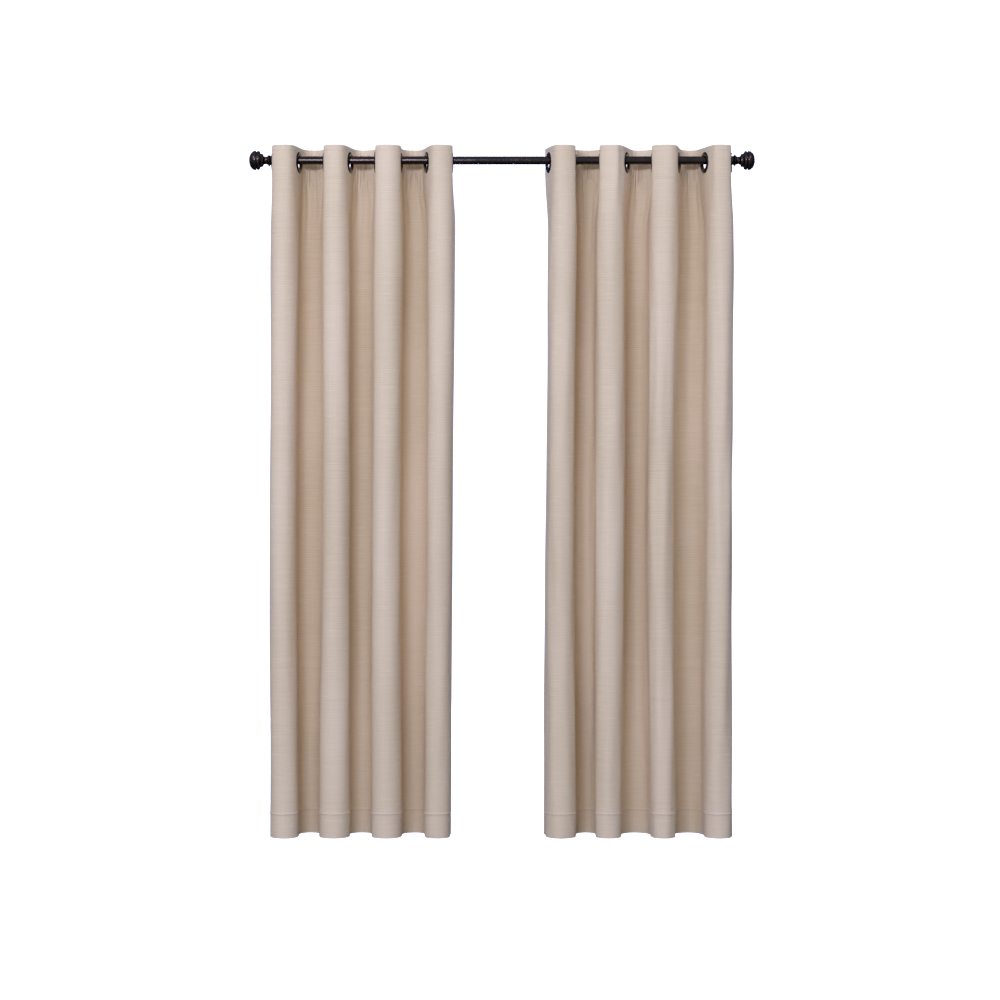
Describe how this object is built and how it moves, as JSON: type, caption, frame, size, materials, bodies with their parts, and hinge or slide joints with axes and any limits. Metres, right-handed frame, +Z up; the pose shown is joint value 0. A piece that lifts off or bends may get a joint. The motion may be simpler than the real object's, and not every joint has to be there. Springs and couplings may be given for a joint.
{
  "type": "grommet-top window curtains on a rod",
  "caption": "Pair of beige linen-look curtain panels on metal grommets, hung on a dark bronze rod with ball finials and wall brackets, with folds that draw and stack.",
  "frame": {"origin": "on the wall plane, level with the rod's axis and midway between the rod's ends", "axes": "+X along the rod to the right as seen from the room, -Y into the room, +Z up; the wall is the plane Y = 0"},
  "size_m": [1.5676, 0.158, 2.1335],
  "materials": {
    "curtain_cloth": "matte linen-look weave with slubs",
    "rod_bronze": "oil-rubbed bronze, satin gloss",
    "grommet_metal": "dark bronze plate, satin gloss",
    "insert_nylon": "plain black moulding"
  },
  "bodies": {
    "root": {"curtain_rod": "rod_bronze", "left_rod_insert": "insert_nylon", "right_rod_insert": "insert_nylon", "left_wall_plate": "rod_bronze", "right_wall_plate": "rod_bronze", "left_bracket_arm": "rod_bronze", "right_bracket_arm": "rod_bronze"},
    "left_finial": {"left_finial": "rod_bronze"},
    "right_finial": {"right_finial": "rod_bronze"},
    "left_set_screw": {"left_set_screw": "rod_bronze"},
    "right_set_screw": {"right_set_screw": "rod_bronze"},
    "left_strip_1": {"left_panel_strip_1": "curtain_cloth", "left_grommet_1": "grommet_metal", "left_grommet_washer_1": "grommet_metal"},
    "left_strip_2": {"left_panel_strip_2": "curtain_cloth", "left_grommet_2": "grommet_metal", "left_grommet_washer_2": "grommet_metal"},
    "left_strip_3": {"left_panel_strip_3": "curtain_cloth", "left_grommet_3": "grommet_metal", "left_grommet_washer_3": "grommet_metal"},
    "left_strip_4": {"left_panel_strip_4": "curtain_cloth", "left_grommet_4": "grommet_metal", "left_grommet_washer_4": "grommet_metal"},
    "left_strip_5": {"left_panel_strip_5": "curtain_cloth", "left_grommet_5": "grommet_metal", "left_grommet_washer_5": "grommet_metal"},
    "left_strip_6": {"left_panel_strip_6": "curtain_cloth", "left_grommet_6": "grommet_metal", "left_grommet_washer_6": "grommet_metal"},
    "left_strip_7": {"left_panel_strip_7": "curtain_cloth", "left_grommet_7": "grommet_metal", "left_grommet_washer_7": "grommet_metal"},
    "left_strip_8": {"left_panel_strip_8": "curtain_cloth", "left_grommet_8": "grommet_metal", "left_grommet_washer_8": "grommet_metal"},
    "right_strip_1": {"right_panel_strip_1": "curtain_cloth", "right_grommet_1": "grommet_metal", "right_grommet_washer_1": "grommet_metal"},
    "right_strip_2": {"right_panel_strip_2": "curtain_cloth", "right_grommet_2": "grommet_metal", "right_grommet_washer_2": "grommet_metal"},
    "right_strip_3": {"right_panel_strip_3": "curtain_cloth", "right_grommet_3": "grommet_metal", "right_grommet_washer_3": "grommet_metal"},
    "right_strip_4": {"right_panel_strip_4": "curtain_cloth", "right_grommet_4": "grommet_metal", "right_grommet_washer_4": "grommet_metal"},
    "right_strip_5": {"right_panel_strip_5": "curtain_cloth", "right_grommet_5": "grommet_metal", "right_grommet_washer_5": "grommet_metal"},
    "right_strip_6": {"right_panel_strip_6": "curtain_cloth", "right_grommet_6": "grommet_metal", "right_grommet_washer_6": "grommet_metal"},
    "right_strip_7": {"right_panel_strip_7": "curtain_cloth", "right_grommet_7": "grommet_metal", "right_grommet_washer_7": "grommet_metal"},
    "right_strip_8": {"right_panel_strip_8": "curtain_cloth", "right_grommet_8": "grommet_metal", "right_grommet_washer_8": "grommet_metal"}
  },
  "joints": [
    {"name": "left_finial_turn", "type": "hinge", "parent": "root", "child": "left_finial", "pos_m": [-0.7165, -0.089, 0], "axis": [-1, 0, 0], "continuous": true},
    {"name": "left_set_screw_turn", "type": "hinge", "parent": "root", "child": "left_set_screw", "pos_m": [-0.6895, -0.089, 0], "axis": [0, 0, 1], "continuous": true},
    {"name": "right_finial_turn", "type": "hinge", "parent": "root", "child": "right_finial", "pos_m": [0.7165, -0.089, 0], "axis": [1, 0, 0], "continuous": true},
    {"name": "right_set_screw_turn", "type": "hinge", "parent": "root", "child": "right_set_screw", "pos_m": [0.6895, -0.089, 0], "axis": [0, 0, 1], "continuous": true},
    {"name": "left_draw", "type": "hinge", "parent": "root", "child": "left_strip_1", "pos_m": [-0.709, -0.089, 0], "axis": [0, 0, 1], "range_deg": [-16, 8.6]},
    {"name": "left_crest_1_2", "type": "hinge", "parent": "left_strip_1", "child": "left_strip_2", "pos_m": [-0.66935, -0.15699, 0], "axis": [0, 0, 1], "range_deg": [-17.2, 32]},
    {"name": "left_crest_2_3", "type": "hinge", "parent": "left_strip_2", "child": "left_strip_3", "pos_m": [-0.59005, -0.02101, 0], "axis": [0, 0, 1], "range_deg": [-32, 17.2]},
    {"name": "left_crest_3_4", "type": "hinge", "parent": "left_strip_3", "child": "left_strip_4", "pos_m": [-0.51075, -0.15699, 0], "axis": [0, 0, 1], "range_deg": [-17.2, 32]},
    {"name": "left_crest_4_5", "type": "hinge", "parent": "left_strip_4", "child": "left_strip_5", "pos_m": [-0.43145, -0.02101, 0], "axis": [0, 0, 1], "range_deg": [-32, 17.2]},
    {"name": "left_crest_5_6", "type": "hinge", "parent": "left_strip_5", "child": "left_strip_6", "pos_m": [-0.35215, -0.15699, 0], "axis": [0, 0, 1], "range_deg": [-17.2, 32]},
    {"name": "left_crest_6_7", "type": "hinge", "parent": "left_strip_6", "child": "left_strip_7", "pos_m": [-0.27285, -0.02101, 0], "axis": [0, 0, 1], "range_deg": [-32, 17.2]},
    {"name": "left_crest_7_8", "type": "hinge", "parent": "left_strip_7", "child": "left_strip_8", "pos_m": [-0.19355, -0.15699, 0], "axis": [0, 0, 1], "range_deg": [-17.2, 32]},
    {"name": "right_draw", "type": "hinge", "parent": "root", "child": "right_strip_1", "pos_m": [0.709, -0.089, 0], "axis": [0, 0, -1], "range_deg": [-16, 8]},
    {"name": "right_crest_1_2", "type": "hinge", "parent": "right_strip_1", "child": "right_strip_2", "pos_m": [0.6687, -0.15679, 0], "axis": [0, 0, -1], "range_deg": [-16, 32]},
    {"name": "right_crest_2_3", "type": "hinge", "parent": "right_strip_2", "child": "right_strip_3", "pos_m": [0.5881, -0.02121, 0], "axis": [0, 0, -1], "range_deg": [-32, 16]},
    {"name": "right_crest_3_4", "type": "hinge", "parent": "right_strip_3", "child": "right_strip_4", "pos_m": [0.5075, -0.15679, 0], "axis": [0, 0, -1], "range_deg": [-16, 32]},
    {"name": "right_crest_4_5", "type": "hinge", "parent": "right_strip_4", "child": "right_strip_5", "pos_m": [0.4269, -0.02121, 0], "axis": [0, 0, -1], "range_deg": [-32, 16]},
    {"name": "right_crest_5_6", "type": "hinge", "parent": "right_strip_5", "child": "right_strip_6", "pos_m": [0.3463, -0.15679, 0], "axis": [0, 0, -1], "range_deg": [-16, 32]},
    {"name": "right_crest_6_7", "type": "hinge", "parent": "right_strip_6", "child": "right_strip_7", "pos_m": [0.2657, -0.02121, 0], "axis": [0, 0, -1], "range_deg": [-32, 16]},
    {"name": "right_crest_7_8", "type": "hinge", "parent": "right_strip_7", "child": "right_strip_8", "pos_m": [0.1851, -0.15679, 0], "axis": [0, 0, -1], "range_deg": [-16, 32]}
  ],
  "couplings": [
    {"joint": "left_crest_1_2", "follows": "left_draw", "ratio": -2},
    {"joint": "left_crest_2_3", "follows": "left_draw", "ratio": 2},
    {"joint": "left_crest_3_4", "follows": "left_draw", "ratio": -2},
    {"joint": "left_crest_4_5", "follows": "left_draw", "ratio": 2},
    {"joint": "left_crest_5_6", "follows": "left_draw", "ratio": -2},
    {"joint": "left_crest_6_7", "follows": "left_draw", "ratio": 2},
    {"joint": "left_crest_7_8", "follows": "left_draw", "ratio": -2},
    {"joint": "right_crest_1_2", "follows": "right_draw", "ratio": -2},
    {"joint": "right_crest_2_3", "follows": "right_draw", "ratio": 2},
    {"joint": "right_crest_3_4", "follows": "right_draw", "ratio": -2},
    {"joint": "right_crest_4_5", "follows": "right_draw", "ratio": 2},
    {"joint": "right_crest_5_6", "follows": "right_draw", "ratio": -2},
    {"joint": "right_crest_6_7", "follows": "right_draw", "ratio": 2},
    {"joint": "right_crest_7_8", "follows": "right_draw", "ratio": -2}
  ]
}
